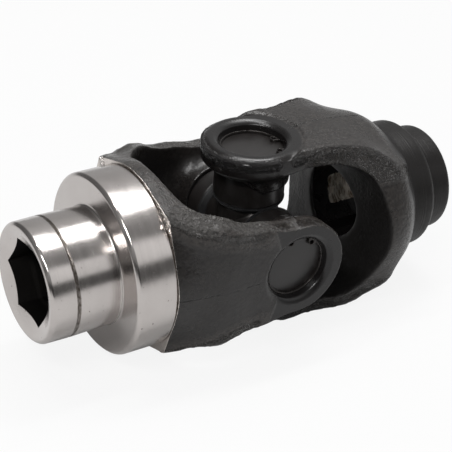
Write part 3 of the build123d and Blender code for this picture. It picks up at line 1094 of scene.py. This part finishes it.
# a pale tent lit from above; metres, apart from the floor's height in mm and the lens
studio = {
    "aim": (0.0558, -0.0207, 0.0161),
    "look": (0.47801, 0.70556, -0.52316),
    "distance": 0.45,
    "roll": 4.05,
    "lens": 119.9,
    "floor": -31.6,
    "floorColour": "#CBCBCB",
    "floorWhite": {"Is Glossy Ray": 0.1, "Is Transmission Ray": 0.2, "Is Camera Ray": 0.88},
    "backdrop": "#FBFBFB",
    "lampDistance": 0.9,
}

# the tent's light by angle round the shaft, from below the near side, over the top, to the far side
tentLight = [(-180, 0.6), (-96, 0.6), (-88, 0.12), (-72, 0.12), (-66, 0.95), (-44, 1.05), (-37, 0.25),
             (-22, 0.3), (-10, 0.5), (0, 0.8), (24, 0.8), (36, 0.7), (60, 0.5), (95, 0.45), (180, 0.6)]

# each lamp's name, direction from the shaft, size and power in watts
lamps = [
    ("topSoftbox", (0.30, 0.22, 0.93), (0.5, 0.3), 2.6),
    ("topStrip", (0.0, 0.165, 0.98), (0.85, 0.06), 4.2),
    ("leftStrip", (-0.52, -0.36, 0.77), (0.5, 0.10), 4.5),
]


def aimAt(thing, direction, distance, roll=0):
    # faces along direction, from that distance before the aim
    thing.rotation_mode = "QUATERNION"
    turn = Matrix.Rotation(math.radians(roll), 4, "Z").to_quaternion()
    thing.rotation_quaternion = direction.to_track_quat("-Z", "Y") @ turn
    thing.location = Vector(studio["aim"]) - direction * distance


def makeCamera():
    data = bpy.data.cameras.new("camera")
    data.lens = studio["lens"]
    data.clip_start = 0.01
    camera = addObject("camera", data)
    aimAt(camera, Vector(studio["look"]).normalized(), studio["distance"], studio["roll"])
    bpy.context.scene.camera = camera


def makeFloor():
    # white to the camera, and mostly a plain matt sheet to the shaft that stands on it
    material = bpy.data.materials.new("paleSweep")
    add = emptied(material)
    rays = add("LightPath").outputs
    share = 0.0
    for ray, level in studio["floorWhite"].items():
        share = add("Math", {0: rays[ray], 1: level, 2: share}, operation="MULTIPLY_ADD")
    lit = add("BsdfDiffuse", {"Color": linear(studio["floorColour"])})
    white = add("Emission", {"Color": (1, 1, 1, 1), "Strength": 1.0})
    mix = add("MixShader", {"Fac": share, 1: lit, 2: white})
    add("OutputMaterial", {"Surface": mix})
    bm = bmesh.new()
    bmesh.ops.create_grid(bm, x_segments=1, y_segments=1, size=3)
    floor = addObject("floor", meshFrom("floor", bm))
    floor.location = (0, 0, studio["floor"] * mm)
    floor.data.materials.append(material)


def makeWorld():
    world = bpy.data.worlds.new("tent")
    bpy.context.scene.world = world
    add = emptied(world)
    direction = add("TexCoord").outputs["Generated"]
    axes = add("SeparateXYZ", {0: direction}).outputs
    angle = add("Math", {0: axes["Y"], 1: axes["Z"]}, operation="ARCTAN2")
    share = add("MapRange", {"Value": angle, "From Min": -math.pi, "From Max": math.pi})
    ramp = add("ValToRGB", {"Fac": share})
    stops = ramp.color_ramp.elements
    for degrees, level in tentLight[1:-1]:
        stops.new((degrees + 180) / 360)
    for stop, (degrees, level) in zip(stops, tentLight):
        stop.position = (degrees + 180) / 360
        stop.color = (level, level, level, 1)
    # the tent is open at the near end, where it is darker
    closed = add("MapRange", {
        "Value": axes["X"], "From Min": -0.1, "From Max": 0.3, "To Min": 0.3, "To Max": 1.0})
    tent = add("Background", {"Color": ramp, "Strength": closed})
    white = add("Background", {"Color": linear(studio["backdrop"]), "Strength": 1.0})
    rays = add("LightPath").outputs
    mix = add("MixShader", {"Fac": rays["Is Camera Ray"], 1: tent, 2: white})
    add("OutputWorld", {"Surface": mix})


def makeLamp(name, toward, size, power):
    lamp = bpy.data.lights.new(name, "AREA")
    lamp.shape = "RECTANGLE"
    lamp.size, lamp.size_y = size
    lamp.energy = power
    aimAt(addObject(name, lamp), -Vector(toward).normalized(), studio["lampDistance"])


makeCamera()
makeFloor()
makeWorld()
for lampSettings in lamps:
    makeLamp(*lampSettings)
bpy.context.scene.view_settings.view_transform = "Standard"
print("studio set")
